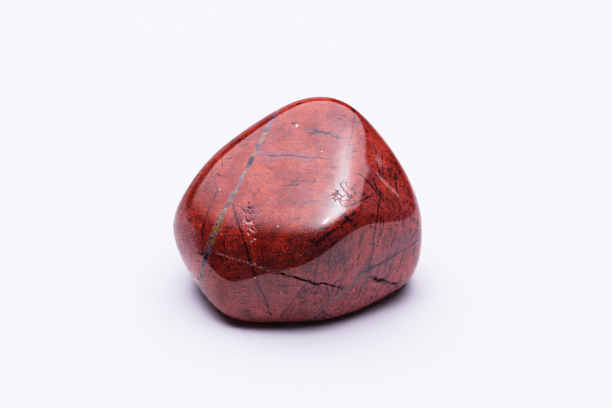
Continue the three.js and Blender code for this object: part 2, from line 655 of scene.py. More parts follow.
class Crackle(NodeGroup):
    """A patch of fine fractures, with a ring of them, round one place."""

    title = "crackle"
    inputs = {
        "Position": NodeGroup.origin,
        "Centre": NodeGroup.origin,
        "Radius": 1.0,
        "Scale": 1.5,
        "Width": 0.05,
    }
    ring_share: ClassVar[float] = 0.4

    def wire(self, graph: Graph, given: Mapping[str, Socket]) -> Socket:
        """Thin borders between Voronoi cells, inside a ball of the given radius, and a ring within.

        Args:
            graph: The group's own nodes.
            given: Its inputs, by name.

        Returns:
            1 on a fracture and 0 beside it.
        """
        place = {"Vector": given["Position"], "Scale": given["Scale"]}
        cells = graph.add("ShaderNodeTexVoronoi", place, feature="DISTANCE_TO_EDGE")
        line = graph.step(cells.outputs["Distance"], 0.0, given["Width"], 1.0, 0.0)
        far = graph.measure("DISTANCE", given["Position"], given["Centre"])
        inner = graph.product(given["Radius"], self.ring_share)
        near = graph.step(far, inner, given["Radius"], 1.0, 0.0)
        off_ring = graph.math("ABSOLUTE", graph.math("SUBTRACT", far, inner))
        ring = graph.step(off_ring, 0.0, given["Width"], 1.0, 0.0)
        return graph.largest(ring, graph.product(line, near))


# Masks and shades

@dataclass(frozen=True)
class Zone:
    """One side of the stone or the table: the way it faces, and how far out it sets in.

    Its mask goes from least, at begins or nearer, to most, at full or further, both measured from
    where the positions given to it are measured.
    """

    facing: Pair
    begins: float
    full: float
    most: float = 1.0
    least: float = 0.0

    def mask(self, graph: Graph, position: Value) -> Socket:
        """A smooth step of position . facing."""
        return graph.step(
            graph.dot(position, unit(*self.facing)), self.begins, self.full, self.least, self.most
        )


@dataclass(frozen=True)
class Patches:
    """Irregular patches: the noise's scale, and the levels of it between which they set in."""

    scale: float
    low: float
    high: float

    def mask(self, graph: Graph, position: Value) -> Socket:
        """Their mask, from 0 to 1."""
        return Fleck().place(graph, position, self.scale, self.low, self.high)


@dataclass(frozen=True)
class Lines:
    """Fine streaks: direction, how far they are drawn out, and the noise's scale and levels."""

    direction: Pair
    stretch: float
    scale: float
    low: float
    high: float

    def mask(self, graph: Graph, position: Value) -> Socket:
        """Their mask, from 0 to 1."""
        drawn = (unit(*self.direction), self.stretch, self.scale)
        return Streak().place(graph, position, *drawn, self.low, self.high)


@dataclass(frozen=True)
class Shade:
    """A value that varies: the noise's scale, detail and roughness, and the step it goes through."""

    scale: float
    detail: float
    roughness: float
    ramp: Ramp

    def value(self, graph: Graph, position: Value) -> Socket:
        """The value at positions measured from the heart."""
        return graph.step(graph.noise(position, self.scale, self.detail, self.roughness), *self.ramp)


# Veins

class VeinKind(Enum):
    """What fills a vein. Those named later lie over those named earlier."""

    HAZE = "haze"
    GREY = "grey"
    DARK = "dark"
    OLIVE = "olive"
    PALE = "pale"
    INK = "ink"


@dataclass(frozen=True)
class Vein:
    """A healed crack, as a flat sheet.

    facing and run are directions. distance is the sheet's distance from the heart, and the vein
    shows from start to end along its run.
    """

    kind: VeinKind
    facing: Pair
    distance: float
    run: Pair
    start: float
    end: float
    half_width: float
    softness: float = 0.04
    unevenness: float = 0.7

    def mask(self, graph: Graph, position: Value, swell: Value, breaks: Value) -> Socket:
        """The vein's mask.

        Args:
            graph: Where its nodes go.
            position: Positions measured from the heart.
            swell: What widens and narrows it.
            breaks: What fades it in places.

        Returns:
            1 in the vein and 0 beside it.
        """
        sheet = (unit(*self.facing), self.distance, unit(*self.run), self.start, self.end)
        edge = (self.half_width, self.softness, self.unevenness)
        return VeinSheet().place(graph, position, *sheet, *edge, swell, breaks)


VEINS = (
    # The main vein, from the crown down the left front, with strands beside it and two dark spots
    Vein(VeinKind.HAZE, (158, 12.5), 6.5, (56, 43), -14.0, 11.0, 0.2, 0.25),
    Vein(VeinKind.PALE, (158, 12.5), 6.54, (56, 43), -15.0, 11.0, 0.21, 0.12, 0.4),
    Vein(VeinKind.PALE, (158, 12.5), 6.92, (56, 43), -10.6, -5.2, 0.08, 0.05),
    Vein(VeinKind.PALE, (158, 12.5), 6.16, (56, 43), -11.0, -6.4, 0.07, 0.05),
    Vein(VeinKind.DARK, (158, 12.5), 6.34, (56, 43), -13.5, 3.0, 0.04, 0.05),
    Vein(VeinKind.DARK, (158, 12.5), 6.73, (56, 43), -11.5, 6.0, 0.03, 0.05),
    Vein(VeinKind.INK, (158, 12.5), 6.5, (56, 43), 2.2, 2.7, 0.3, 0.08, 0.2),
    Vein(VeinKind.INK, (158, 12.5), 6.5, (56, 43), -11.0, -10.7, 0.2, 0.08),
    # The dark vein that leaves it and crosses the brow and the front
    Vein(VeinKind.DARK, (187.5, -17.5), 6.78, (125, 55), -10.8, 3.4, 0.09, 0.08, 0.6),
    # Thin dark lines round the main vein
    Vein(VeinKind.GREY, (337.5, 54), 0.0, (102, 22.5), -0.3, 5.6, 0.07),
    Vein(VeinKind.DARK, (309, 29.5), 0.0, (68, 40.5), -8.4, -2.6, 0.07),
    Vein(VeinKind.DARK, (320, 23), 0.0, (87, 55), -6.8, -2.6, 0.05),
    # The long vein that rises across the right front, its branch, and the lines that cross it
    Vein(VeinKind.GREY, (331.5, -42), 11.03, (11, 40.5), -8.5, 4.2, 0.13, 0.08, 0.4),
    Vein(VeinKind.OLIVE, (331.5, -42), 11.03, (11, 40.5), -8.5, 2.6, 0.09, 0.06, 0.5),
    Vein(VeinKind.DARK, (1, -8.5), 9.07, (65.5, 71.5), -4.2, 5.6, 0.09, 0.06, 0.5),
    Vein(VeinKind.DARK, (239.5, -5), 0.0, (153.5, 39.5), -5.6, -1.6, 0.1, 0.05, 0.4),
    Vein(VeinKind.HAZE, (310, -20), 13.42, (32.5, 19), -0.6, 9.6, 0.3, 0.35),
    Vein(VeinKind.DARK, (81.5, -73), 0.0, (34, 12), 0.8, 10.5, 0.1, 0.1, 0.7),
    Vein(VeinKind.DARK, (246.5, 35), 0.0, (61, 54.5), 0.4, 4.0, 0.08),
    Vein(VeinKind.DARK, (9.5, -26), 0.0, (338.5, 60), -5.5, 1.0, 0.05),
    Vein(VeinKind.DARK, (16.5, 3.5), 0.0, (267.5, 79.5), -4.3, -1.0, 0.04),
    # Lines on the broad top face
    Vein(VeinKind.DARK, (74.5, 12.5), 0.0, (343.5, 6.5), -3.0, 6.0, 0.05, 0.05, 0.5),
    Vein(VeinKind.HAZE, (74.5, 12.5), 0.05, (343.5, 6.5), -3.2, 4.0, 0.25, 0.45, 0.2),
    Vein(VeinKind.INK, (64.5, -7), 0.0, (332.5, -18), -1.6, 1.8, 0.1, 0.16, 0.9),
    Vein(VeinKind.DARK, (7, -29.5), 0.0, (80.5, 24), 2.4, 9.6, 0.06),
    Vein(VeinKind.DARK, (11, -28), 0.0, (81, 32.5), -2.3, 4.0, 0.06),
    Vein(VeinKind.DARK, (137, 59.5), 0.0, (36, 6.5), -0.4, 5.4, 0.07, 0.06),
    Vein(VeinKind.DARK, (169.5, 56.5), 0.0, (30, 26.5), -2.4, 3.6, 0.08, 0.2),
    Vein(VeinKind.INK, (91, 37), 0.0, (352.5, 11.5), 0.4, 2.4, 0.04),
    Vein(VeinKind.INK, (87, 34.5), 0.0, (350, 10), 1.8, 3.4, 0.04),
    Vein(VeinKind.GREY, (252.5, 6.5), 0.0, (343, 4.5), 1.0, 6.0, 0.03),
    Vein(VeinKind.GREY, (73, 0.5), 0.0, (343, 5), -3.6, 7.0, 0.03),
    Vein(VeinKind.GREY, (76, 26.5), 0.0, (343.5, 5), -0.8, 6.0, 0.03),
    Vein(VeinKind.GREY, (80, 51.5), 0.0, (343, 5.5), -1.6, 3.2, 0.03),
    Vein(VeinKind.GREY, (2.5, 3), 0.0, (273.5, -24.5), -9.8, -3.0, 0.025),
    Vein(VeinKind.GREY, (189, 12), 0.0, (272, -31), -7.6, 0.0, 0.03),
    Vein(VeinKind.DARK, (185, 31), 0.0, (252, -33), -3.0, 1.6, 0.04),
    Vein(VeinKind.DARK, (325, 44.5), 0.0, (262, -25), -3.2, -1.0, 0.04),
    # Short dark lines on the dark right face, and lines low on the front
    Vein(VeinKind.INK, (38, -33), 0.0, (278.5, -37.5), -3.4, -0.2, 0.05, 0.05),
    Vein(VeinKind.INK, (213.5, 40), 0.0, (271, -33), -3.8, -0.4, 0.04),
    Vein(VeinKind.INK, (223.5, 43), 0.0, (272.5, -35.5), -1.2, 0.8, 0.08, 0.12),
    Vein(VeinKind.DARK, (231.5, 11), 0.0, (309.5, -47.5), 1.2, 3.8, 0.06),
    Vein(VeinKind.INK, (224.5, -26.5), 0.0, (326, -22), 5.6, 8.6, 0.1, 0.3, 1.0),
    Vein(VeinKind.DARK, (341.5, 12.5), 0.0, (270, -55), 4.2, 6.2, 0.05),
    Vein(VeinKind.DARK, (222.5, 24), 0.0, (17.5, 63.5), -4.4, 0.2, 0.05),
    Vein(VeinKind.DARK, (235.5, 14.5), 0.0, (34, 74.5), -1.2, 4.2, 0.05),
    Vein(VeinKind.DARK, (225, 24.5), 0.0, (39.5, 65.5), 0.2, 4.6, 0.05),
    # Veins of the far side
    Vein(VeinKind.PALE, (20, 35), -4.5, (100, 20), 6.5, 14.0, 0.1, 0.06),
    Vein(VeinKind.DARK, (60, -50), 3.5, (120, 10), 1.0, 14.0, 0.08),
    Vein(VeinKind.GREY, (330, 20), -6.0, (90, 30), 3.0, 12.0, 0.07),
)


# Finishes

@dataclass(frozen=True)
class JasperFinish:
    """Polished red jasper. Colours are linear.

    A ramp is the low and high level of a smooth step, and its values there. A wander is the scale
    and the amount of the noise that moves positions.
    """

    name: str = "polished_jasper"
    bright_red: Colour = (0.51, 0.074, 0.042, 1.0)
    brick_red: Colour = (0.31, 0.037, 0.018, 1.0)
    # Partly the stone's own dusky red, partly painted shade on the sides.
    dusky_and_shade_red: Colour = (0.15, 0.019, 0.012, 1.0)
    dark_iron: Colour = (0.032, 0.009, 0.006, 1.0)
    lilac_grey: Colour = (0.19, 0.085, 0.11, 1.0)
    # Painted reflection: these two colours are the pale table mirrored on the foot, the left end and the
    # right side.
    painted_reflection_rose_grey: Colour = (0.50, 0.13, 0.14, 1.0)
    painted_reflection_dusty_rose: Colour = (0.46, 0.19, 0.20, 1.0)
    vein_olive: Colour = (0.26, 0.19, 0.085, 1.0)
    vein_beige: Colour = (0.27, 0.20, 0.13, 1.0)
    vein_lilac: Colour = (0.19, 0.14, 0.18, 1.0)
    vein_slate: Colour = (0.09, 0.085, 0.11, 1.0)
    vein_dark: Colour = (0.030, 0.010, 0.016, 1.0)
    vein_grey: Colour = (0.09, 0.04, 0.06, 1.0)
    vein_ink: Colour = (0.008, 0.010, 0.026, 1.0)
    # Partly the broken stone's pale pink, partly painted glints.
    chip_pink_and_glint: Colour = (0.70, 0.33, 0.31, 1.0)
    # Painted shade: the dark of the grooves, the pits and the chipped places.
    hollow: Colour = (0.032, 0.005, 0.004, 1.0)
    # The quartz grains' colour, also used for one painted glint.
    quartz: Colour = (0.80, 0.70, 0.66, 1.0)

    tone: Patches = Patches(0.35, 0.38, 0.62)
    haze: Patches = Patches(0.2, 0.5, 0.66)
    haze_share: float = 0.4
    # The sides, darker than the lit top and more densely mottled: partly dusky stone, partly painted shade.
    dusky_and_shaded_sides: tuple[Zone, ...] = (
        Zone((262, 4), 8.0, 12.5),
        Zone((340, 30), 9.0, 13.0, most=0.15),
        Zone((190, 16), 10.5, 14.0, most=0.8),
        Zone((145, 42), 10.0, 12.5, most=0.7),
    )
    dusk_and_shade_share: float = 0.45
    mottling: Patches = Patches(4.4, 0.42, 0.6)
    mottling_shares: Pair = (0.25, 0.85)
    patchiness: Patches = Patches(0.3, 0.42, 0.6)
    patchy_shares: Pair = (0.7, 1.0)
    # Painted reflection of the pale table on the foot.
    foot_painted_reflection: Zone = Zone((285, -40), 8.5, 13.0, most=0.4)
    smudges: Patches = Patches(0.55, 0.54, 0.68)
    smudged: Zone = Zone((285, -30), 9.0, 13.0, most=0.55)
    # Painted reflection of the pale table on the left end and the right side.
    left_end_painted_reflection: Zone = Zone((196, -10), 12.5, 15.5, most=0.7)
    right_side_painted_reflection: Zone = Zone((325, -20), 8.0, 14.0, most=0.4)
    grain: Shade = Shade(5.0, 4.0, 0.75, (0.34, 0.66, 1.3, 0.6))
    clouds: Shade = Shade(0.8, 3.0, 0.5, (0.35, 0.65, 0.9, 1.1))

    dash_lines: Lines = Lines((350, 8), 4.0, 2.6, 0.585, 0.62)
    dash_groups: Patches = Patches(0.5, 0.47, 0.56)
    dash_share: float = 0.9
    steep_lines: Lines = Lines((35, 78), 9.0, 2.8, 0.5, 0.6)
    right_front: Zone = Zone((320, -10), 6.0, 11.0, most=0.65)
    fine_lines: tuple[Lines, ...] = (
        Lines((340, 5), 14.0, 5.5, 0.54, 0.62),
        Lines((80, 30), 14.0, 4.5, 0.57, 0.65),
    )
    top_face: Zone = Zone((245, 60), 4.0, 7.5, most=0.6, least=0.3)
    speck_scale: float = 0.4
    speck_ramp: Ramp = (0.022, 0.04, 0.8, 0.0)
    # A painted glint: one pale spot on the top, at this direction and reach from the heart.
    painted_glint: Pair = (87.5, 82)
    painted_glint_reach: float = 11.7
    painted_glint_ramp: Ramp = (0.1, 0.22, 1.0, 0.0)

    block_scale: float = 1.3
    greying: Zone = Zone((56, 43), -8.0, 4.0, most=0.15, least=-0.3)
    lilac_levels: Pair = (0.42, 0.5)
    beige_levels: Pair = (0.7, 0.76)
    slate_levels: Pair = (0.66, 0.7)
    speckle: Shade = Shade(5.0, 3.0, 0.7, (0.46, 0.6, 0.0, 0.75))
    swell: Shade = Shade(1.3, 3.0, 0.65, (0.32, 0.68, -1.0, 0.7))
    breaks: Shade = Shade(2.6, 2.0, 0.5, (0.34, 0.5, 0.8, 0.0))

    vein_wanders: tuple[Pair, ...] = ((0.45, 0.35), (2.5, 0.07))
    fracture_wander: Pair = (1.6, 0.35)
    fracture_place: Pair = (307, 37)
    fracture_radius: float = 2.4
    fracture_scale: float = 1.1
    fracture_width: float = 0.12
    fracture_groups: Patches = Patches(1.6, 0.4, 0.5)
    fracture_share: float = 0.95
    crumbs: tuple[float, float, float] = (5.0, 3.0, 0.7)
    crumb_height: float = 0.08
    chip_ramp: Ramp = (0.46, 0.58, 0.0, 0.9)
    chip_shadow: float = 0.35
    hollow_shade_ramp: Ramp = (0.1, 0.5, 0.0, 0.95)
    chipped_roughness: float = 0.6
    fractured_roughness: float = 0.3
    fully_rough: float = 0.5
    polish: float = 0.055
    broken: float = 0.55
    refraction: float = 1.7

    def ground(self, graph: Graph, position: Value) -> Socket:
        """The red body: bright and brick red, lilac haze, dark iron mottling, fine grain, painted shade and
        painted reflection.

        Args:
            graph: Where its nodes go.
            position: Positions measured from the heart.

        Returns:
            Its colour.
        """
        colour = graph.blend(self.tone.mask(graph, position), self.brick_red, self.bright_red)
        haze = graph.product(self.haze.mask(graph, position), self.haze_share)
        colour = graph.blend(haze, colour, self.lilac_grey)

        # Painted shade, in part: the sides are darkened against the lit top and mottled more densely, partly
        # the stone's own dusky colour.
        dusky_and_shaded = graph.largest(*(side.mask(graph, position) for side in self.dusky_and_shaded_sides))
        colour = graph.blend(graph.product(dusky_and_shaded, self.dusk_and_shade_share), colour, self.dusky_and_shade_red)
        patchy = graph.step(self.patchiness.mask(graph, position), 0.0, 1.0, *self.patchy_shares)
        amount = graph.product(graph.step(dusky_and_shaded, 0.0, 1.0, *self.mottling_shares), patchy)
        mottling = graph.product(self.mottling.mask(graph, position), amount)
        colour = graph.blend(mottling, colour, self.dark_iron)

        # Painted reflection of the pale table: the foot lightened to rose grey.
        colour = graph.blend(self.foot_painted_reflection.mask(graph, position), colour, self.painted_reflection_rose_grey)
        smudge = graph.product(self.smudges.mask(graph, position), self.smudged.mask(graph, position))
        colour = graph.blend(smudge, colour, self.dark_iron)
        # Painted reflection of the pale table on the left end and the right side.
        colour = graph.blend(self.left_end_painted_reflection.mask(graph, position), colour, self.painted_reflection_dusty_rose)
        colour = graph.blend(self.right_side_painted_reflection.mask(graph, position), colour, self.painted_reflection_rose_grey)
        shade = graph.product(self.grain.value(graph, position), self.clouds.value(graph, position))
        return graph.scaled(colour, shade)

    def dashes(self, graph: Graph, position: Value, colour: Value) -> Socket:
        """Short near-black dashes, a few together, that follow the fine level lines.

        Args:
            graph: Where their nodes go.
            position: Positions measured from the heart.
            colour: What they lie on.

        Returns:
            The colour with them.
        """
        dash = self.dash_lines.mask(graph, position)
        share = graph.product(dash, self.dash_groups.mask(graph, position), self.dash_share)
        return graph.blend(share, colour, self.vein_dark)

    def specks(self, graph: Graph, position: Value, colour: Value) -> Socket:
        """Pale grains of quartz, small balls round Voronoi cells' middles, and one painted glint on the top.

        Args:
            graph: Where their nodes go.
            position: Positions measured from the heart.
            colour: What they lie in.

        Returns:
            The colour with them.
        """
        cells = graph.add("ShaderNodeTexVoronoi", {"Vector": position, "Scale": self.speck_scale})
        few = graph.step(cells.outputs["Distance"], *self.speck_ramp)
        # A painted glint: one pale spot in the quartz colour.
        middle = self.painted_glint_reach * unit(*self.painted_glint)
        bright = graph.step(graph.measure("DISTANCE", position, middle), *self.painted_glint_ramp)
        return graph.blend(graph.largest(few, bright), colour, self.quartz)

    def streaks(self, graph: Graph, position: Value, colour: Value) -> Socket:
        """Steep dark streaks over the right front, and a faint cross of fine lines on the top.

        Args:
            graph: Where their nodes go.
            position: Positions measured from the heart.
            colour: What they lie on.

        Returns:
            The colour with them.
        """
        steep = self.steep_lines.mask(graph, position)
        steep = graph.product(steep, self.right_front.mask(graph, position))
        colour = graph.blend(steep, colour, self.vein_dark)
        fine = graph.largest(*(lines.mask(graph, position) for lines in self.fine_lines))
        fine = graph.product(fine, self.top_face.mask(graph, position))
        return graph.blend(fine, colour, self.vein_grey)

    def filling(self, graph: Graph, position: Value) -> Socket:
        """What fills the pale veins: short blocks of olive, beige, lilac and slate quartz.

        Args:
            graph: Where its nodes go.
            position: Positions measured from the heart.

        Returns:
            Its colour.
        """
        blocks = graph.add("ShaderNodeTexVoronoi", {"Vector": position, "Scale": self.block_scale})
        parts = graph.add("ShaderNodeSeparateColor", {"Color": blocks.outputs["Color"]}).outputs
        greyer = graph.total(parts[0], self.greying.mask(graph, position))
        colour = graph.blend(graph.step(greyer, *self.lilac_levels), self.vein_olive, self.vein_lilac)
        colour = graph.blend(graph.step(parts[1], *self.beige_levels), colour, self.vein_beige)
        colour = graph.blend(graph.step(parts[2], *self.slate_levels), colour, self.vein_slate)
        return graph.blend(self.speckle.value(graph, position), colour, self.vein_dark)

    def veined(self, graph: Graph, position: Value, colour: Value) -> Socket:
        """The colour with every vein laid over it, haze first and ink last.

        Args:
            graph: Where the veins' nodes go.
            position: Positions measured from the heart.
            colour: What the veins cross.

        Returns:
            The colour with them.
        """
        fills: dict[VeinKind, tuple[Value, float]] = {
            VeinKind.HAZE: (self.lilac_grey, 0.55),
            VeinKind.GREY: (self.vein_grey, 0.8),
            VeinKind.DARK: (self.vein_dark, 0.9),
            VeinKind.OLIVE: (self.vein_beige, 0.6),
            VeinKind.PALE: (self.filling(graph, position), 0.85),
            VeinKind.INK: (self.vein_ink, 0.95),
        }
        swell = self.swell.value(graph, position)
        breaks = self.breaks.value(graph, position)
        for kind, (fill, strength) in fills.items():
            masks = [vein.mask(graph, position, swell, breaks) for vein in VEINS if vein.kind is kind]
            colour = graph.blend(graph.product(graph.largest(*masks), strength), colour, fill)
        return colour

    def fractured(self, graph: Graph, position: Value, wandered: Value, centre: Array) -> Socket:
        """The patch of fine fractures, broken up into a few groups.

        Args:
            graph: Where its nodes go.
            position: Positions measured from the heart.
            wandered: The same positions, moved a little.
            centre: The patch's middle.

        Returns:
            1 on a fracture and 0 beside it.
        """
        shattered = Wander().place(graph, wandered, *self.fracture_wander)
        sizes = (self.fracture_radius, self.fracture_scale, self.fracture_width)
        fractures = Crackle().place(graph, shattered, centre, *sizes)
        return graph.product(fractures, self.fracture_groups.mask(graph, position))

    def material(self, block: WornBlock) -> bpy.types.Material:
        """Makes the material of a stone with this block's heart.

        The polish is lost where the mesh is marked as broken or chipped, and on the fractures.

        Args:
            block: The stone's block.

        Returns:
            The material.
        """
        material = bpy.data.materials.new(self.name)
        graph = emptied(material)
        place = graph.add("ShaderNodeTexCoord", {}).outputs["Object"]
        position = graph.vector("SUBTRACT", graph.scaled(place, 1.0 / MM), block.heart)
        wandered = position
        for wander in self.vein_wanders:
            wandered = Wander().place(graph, wandered, *wander)

        colour = self.ground(graph, position)
        colour = self.streaks(graph, wandered, colour)
        colour = self.dashes(graph, wandered, colour)
        colour = self.veined(graph, wandered, colour)
        colour = self.specks(graph, position, colour)
        fractures = self.fractured(graph, position, wandered, block.point(*self.fracture_place))
        colour = graph.blend(graph.product(fractures, self.fracture_share), colour, self.vein_ink)

        # The broken value sets the roughness, and also the painted shade in grooves and pits.
        broken, chipped = (
            graph.add("ShaderNodeAttribute", {}, attribute_name=name).outputs["Fac"]
            for name in (BROKEN_AND_SHADED, CHIPPED)
        )
        crumbs = graph.noise(position, *self.crumbs)
        chips = graph.product(chipped, graph.step(crumbs, *self.chip_ramp))
        # Painted shade: chipped places are darkened, and further down, grooves and pits are darkened more the
        # deeper they go.
        colour = graph.blend(graph.product(chipped, self.chip_shadow), colour, self.hollow)
        # Pale pink crumbs in the chips: partly the broken stone's colour, partly painted glints.
        colour = graph.blend(chips, colour, self.chip_pink_and_glint)
        colour = graph.blend(graph.step(broken, *self.hollow_shade_ramp), colour, self.hollow)

        rough = graph.largest(
            broken,
            graph.product(chipped, self.chipped_roughness),
            graph.product(fractures, self.fractured_roughness),
        )
        bump = graph.add("ShaderNodeBump", {
            "Strength": 1.0,
            "Distance": self.crumb_height * MM,
            "Height": graph.product(crumbs, rough),
        })
        shader = graph.add("ShaderNodeBsdfPrincipled", {
            "Base Color": colour,
            "Roughness": graph.step(rough, 0.0, self.fully_rough, self.polish, self.broken),
            "Normal": bump.outputs[0],
            "IOR": self.refraction,
        })
        graph.add("ShaderNodeOutputMaterial", {"Surface": shader.outputs[0]})
        return material


# The stone

@dataclass
class JasperStone:
    """The stone: its worn block, what is cut into it, and its finish.

    waver is the unevenness that polishing leaves: height, lattice cell and seed of each size of it.
    Below flat_top the surface stays flat, to rest on. The chip values say how near a groove or how
    deep in a pit the surface is chipped, and where that fades from left to right. The dark values
    are the depths at which a groove or a pit is wholly dark with painted shade, and how far right
    pits are so.
    """

    block: WornBlock = field(default_factory=WornBlock)
    finish: JasperFinish = field(default_factory=JasperFinish)
    cells: int = 92
    fine_cuts: int = 3
    weld: float = 1e-5
    grooves: tuple[Groove, ...] = (
        Groove(
            path=(
                (225, 0.5, 0.08, 0.1),
                (235, -0.5, 0.12, 0.12),
                (245, -1, 0.14, 0.14),
                (253, -2.5, 0.16, 0.2),
                (261, -3.5, 0.16, 0.3),
                (268, -4.5, 0.16, 0.35),
                (275.5, -7.5, 0.22, 0.45),
                (279.5, -10.5, 0.15, 0.4),
                (284.5, -11, 0.24, 0.4),
                (292, -15.5, 0.16, 0.25),
                (298, -19, 0.1, 0.15),
            ),
            ragged=0.12,
            seed=11,
            fine_within=0.75,
        ),
        Groove(
            path=(
                (316, -18, 0.1, 0.12),
                (319.5, -19, 0.2, 0.2),
                (322.5, -20.5, 0.12, 0.2),
                (327.5, -23.5, 0.22, 0.24),
                (333.5, -26.5, 0.1, 0.12),
            ),
            ragged=0.2,
            seed=21,
            fine_within=0.7,
        ),
    )
    pits: tuple[Cut, ...] = (
        Pit(192, -1, 1.1, 0.6, 0.28),
        Pit(207, -16, 0.7, 0.5, 0.2),
        Pit(214.5, -17.5, 0.6, 0.5, 0.18),
        PittedPatch((225, 27), (242, 13.5), 0.85, 0.42, 0.18, 51),
        PittedPatch((222.5, 14), (224, 10.5), 0.4, 0.35, 0.14, 61),
        PittedPatch((238, -0.5), (262, -3.5), 0.3, 0.35, 0.16, 71),
        PittedPatch((276, -8), (297, -18), 0.32, 0.3, 0.2, 81),
        PittedPatch((315, -17.5), (333, -26), 0.5, 0.32, 0.24, 91),
    )
    ridge: Ridge = Ridge(start=(334, 38), end=(337, 21), height=0.13, half_width=1.05)
    waver: tuple[tuple[float, float, int], ...] = ((0.02, 3.2, 3), (0.006, 1.3, 4))
    flat_top: float = 0.02
    chip_reach: float = 0.22
    chip_depth: float = 0.06
    chip_fade: Pair = (2.0, 4.0)
    chip_shares: Pair = (0.1, 0.7)
    dark_groove: float = 0.32
    dark_pit: float = 0.2
    dark_fade: float = 2.0

    def cube_grid(self) -> tuple[Array, Array]:
        """Directions and quads of a cube's grid, pushed out to a ball.

        Each side is a grid of two parameters s and t from -1 to 1. A point is the unit vector of
        (tan(s pi / 4), tan(t pi / 4), 1), turned to its side, so that every cell has a like angle.

        Returns:
            Unit vectors, one a row, and the rows of each cell's four corners.
        """
        steps = np.tan(np.linspace(-1.0, 1.0, self.cells + 1) * math.pi / 4.0)
        s, t = np.meshgrid(steps, steps, indexing="ij")
        one = np.ones_like(s)
        sides = ((s, t, one), (t, s, -one), (one, s, t), (-one, t, s), (t, one, s), (s, -one, t))
        points = np.concatenate([np.stack(side, axis=-1).reshape(-1, 3) for side in sides])
        points /= np.linalg.norm(points, axis=1)[:, None]
        count = self.cells + 1
        i, j = np.meshgrid(np.arange(self.cells), np.arange(self.cells), indexing="ij")
        corner = (i * count + j).reshape(-1)
        quad = np.stack([corner, corner + count, corner + count + 1, corner + 1], axis=1)
        quads = np.concatenate([quad + side * count * count for side in range(len(sides))])
        return points, quads

    def near_detail(self, points: Array) -> Array:
        """Which points lie near a groove or a pit, where the grid is made finer."""
        return np.any([cut.near(self.block, points) for cut in (*self.grooves, *self.pits)], axis=0)

    def refine(self, mesh: bpy.types.Mesh) -> None:
        """Divides the cells near the grooves and pits, on the grid of directions.

        Args:
            mesh: The grid, which is changed in place and left closed.
        """
        grid = bmesh.new()
        grid.from_mesh(mesh)
        bmesh.ops.remove_doubles(grid, verts=grid.verts, dist=self.weld)
        grid.faces.ensure_lookup_table()
        middles = np.array([face.calc_center_median() for face in grid.faces])
        middles /= np.linalg.norm(middles, axis=1)[:, None]
        near = self.near_detail(middles * self.block.radius(middles)[:, None])
        edges = {edge for index in np.flatnonzero(near) for edge in grid.faces[index].edges}
        bmesh.ops.subdivide_edges(grid, edges=list(edges), cuts=self.fine_cuts, use_grid_fill=True)
        many_sided = [face for face in grid.faces if len(face.verts) > 4]
        bmesh.ops.triangulate(grid, faces=many_sided, ngon_method="BEAUTY")
        bmesh.ops.recalc_face_normals(grid, faces=grid.faces)
        grid.to_mesh(mesh)
        grid.free()

    def mesh(self) -> bpy.types.Mesh:
        """The stone's surface, with how broken and how chipped it is at each point.

        The stone's surface, with how broken, how dark with painted shade and how chipped it is at each point.

        Returns:
            The finished mesh, in metres.
        """
        directions, quads = self.cube_grid()
        mesh = bpy.data.meshes.new(STONE_PIECE)
        mesh.from_pydata(directions.tolist(), [], quads.tolist())
        self.refine(mesh)

        directions = np.zeros(len(mesh.vertices) * 3)
        mesh.vertices.foreach_get("co", directions)
        directions = directions.reshape(-1, 3)
        directions /= np.linalg.norm(directions, axis=1)[:, None]
        radius = self.block.radius(directions)
        points = directions * radius[:, None]

        cracked = np.max([groove.drop(self.block, points) for groove in self.grooves], axis=0)
        pitted = np.max([pit.drop(self.block, points) for pit in self.pits], axis=0)
        waver = sum(height * lattice_noise(points, cell, seed) for height, cell, seed in self.waver)
        height = self.ridge.rise(self.block, points) + waver - np.maximum(cracked, pitted)
        standing = points[:, 2] + self.block.heart[2] > self.flat_top
        radius = radius + np.where(standing, height, 0.0)
        places = (directions * radius[:, None] + np.array(self.block.heart)) * MM
        mesh.vertices.foreach_set("co", places.astype(np.float32).ravel())

        self.mark(mesh, BROKEN_AND_SHADED, self.break_and_shade(points, cracked, pitted))
        self.mark(mesh, CHIPPED, self.chips(points, pitted))
        mesh.shade_smooth()
        mesh.update()
        return mesh

    def break_and_shade(self, points: Array, cracked: Array, pitted: Array) -> Array:
        """How broken the surface is, and how dark with painted shade: the groove's or pit's depth as a share
        of a dark one's.

        Args:
            points: Places measured from the heart, one a row.
            cracked: How deep a groove is under each.
            pitted: How deep a pit is under each.

        Returns:
            One share a point, from 0 to 1.
        """
        right = np.clip(points[:, 0] / self.dark_fade, 0.0, 1.0)
        dark = np.maximum(cracked / self.dark_groove, right * pitted / self.dark_pit)
        return np.clip(dark, 0.0, 1.0)

    def chips(self, points: Array, pitted: Array) -> Array:
        """How chipped the surface is: beside the grooves, more at the left, and in the pits.

        Args:
            points: Places measured from the heart, one a row.
            pitted: How deep a pit is under each.

        Returns:
            One share a point, from 0 to 1.
        """
        gap = np.min([groove.gap(self.block, points) for groove in self.grooves], axis=0)
        side, width = self.chip_fade
        left = np.clip((side - points[:, 0]) / width, *self.chip_shares)
        beside = np.clip(1.0 - gap / self.chip_reach, 0.0, 1.0) * left
        return np.maximum(beside, np.clip(pitted / self.chip_depth, 0.0, 1.0))

    @staticmethod
    def mark(mesh: bpy.types.Mesh, name: str, values: Array) -> None:
        """Keeps one number a point on the mesh."""
        attribute = mesh.attributes.new(name, "FLOAT", "POINT")
        attribute.data.foreach_set("value", values.astype(np.float32))

    def build(self) -> bpy.types.Object:
        """Makes the stone and puts it in place of its plain solid.

        Returns:
            The finished piece.
        """
        stone = bpy.data.objects.new(STONE_PIECE, self.mesh())
        bpy.context.scene.collection.objects.link(stone)
        stone.data.materials.append(self.finish.material(self.block))
        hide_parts(STONE_NODE)
        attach(stone, "root")
        return stone


# The studio

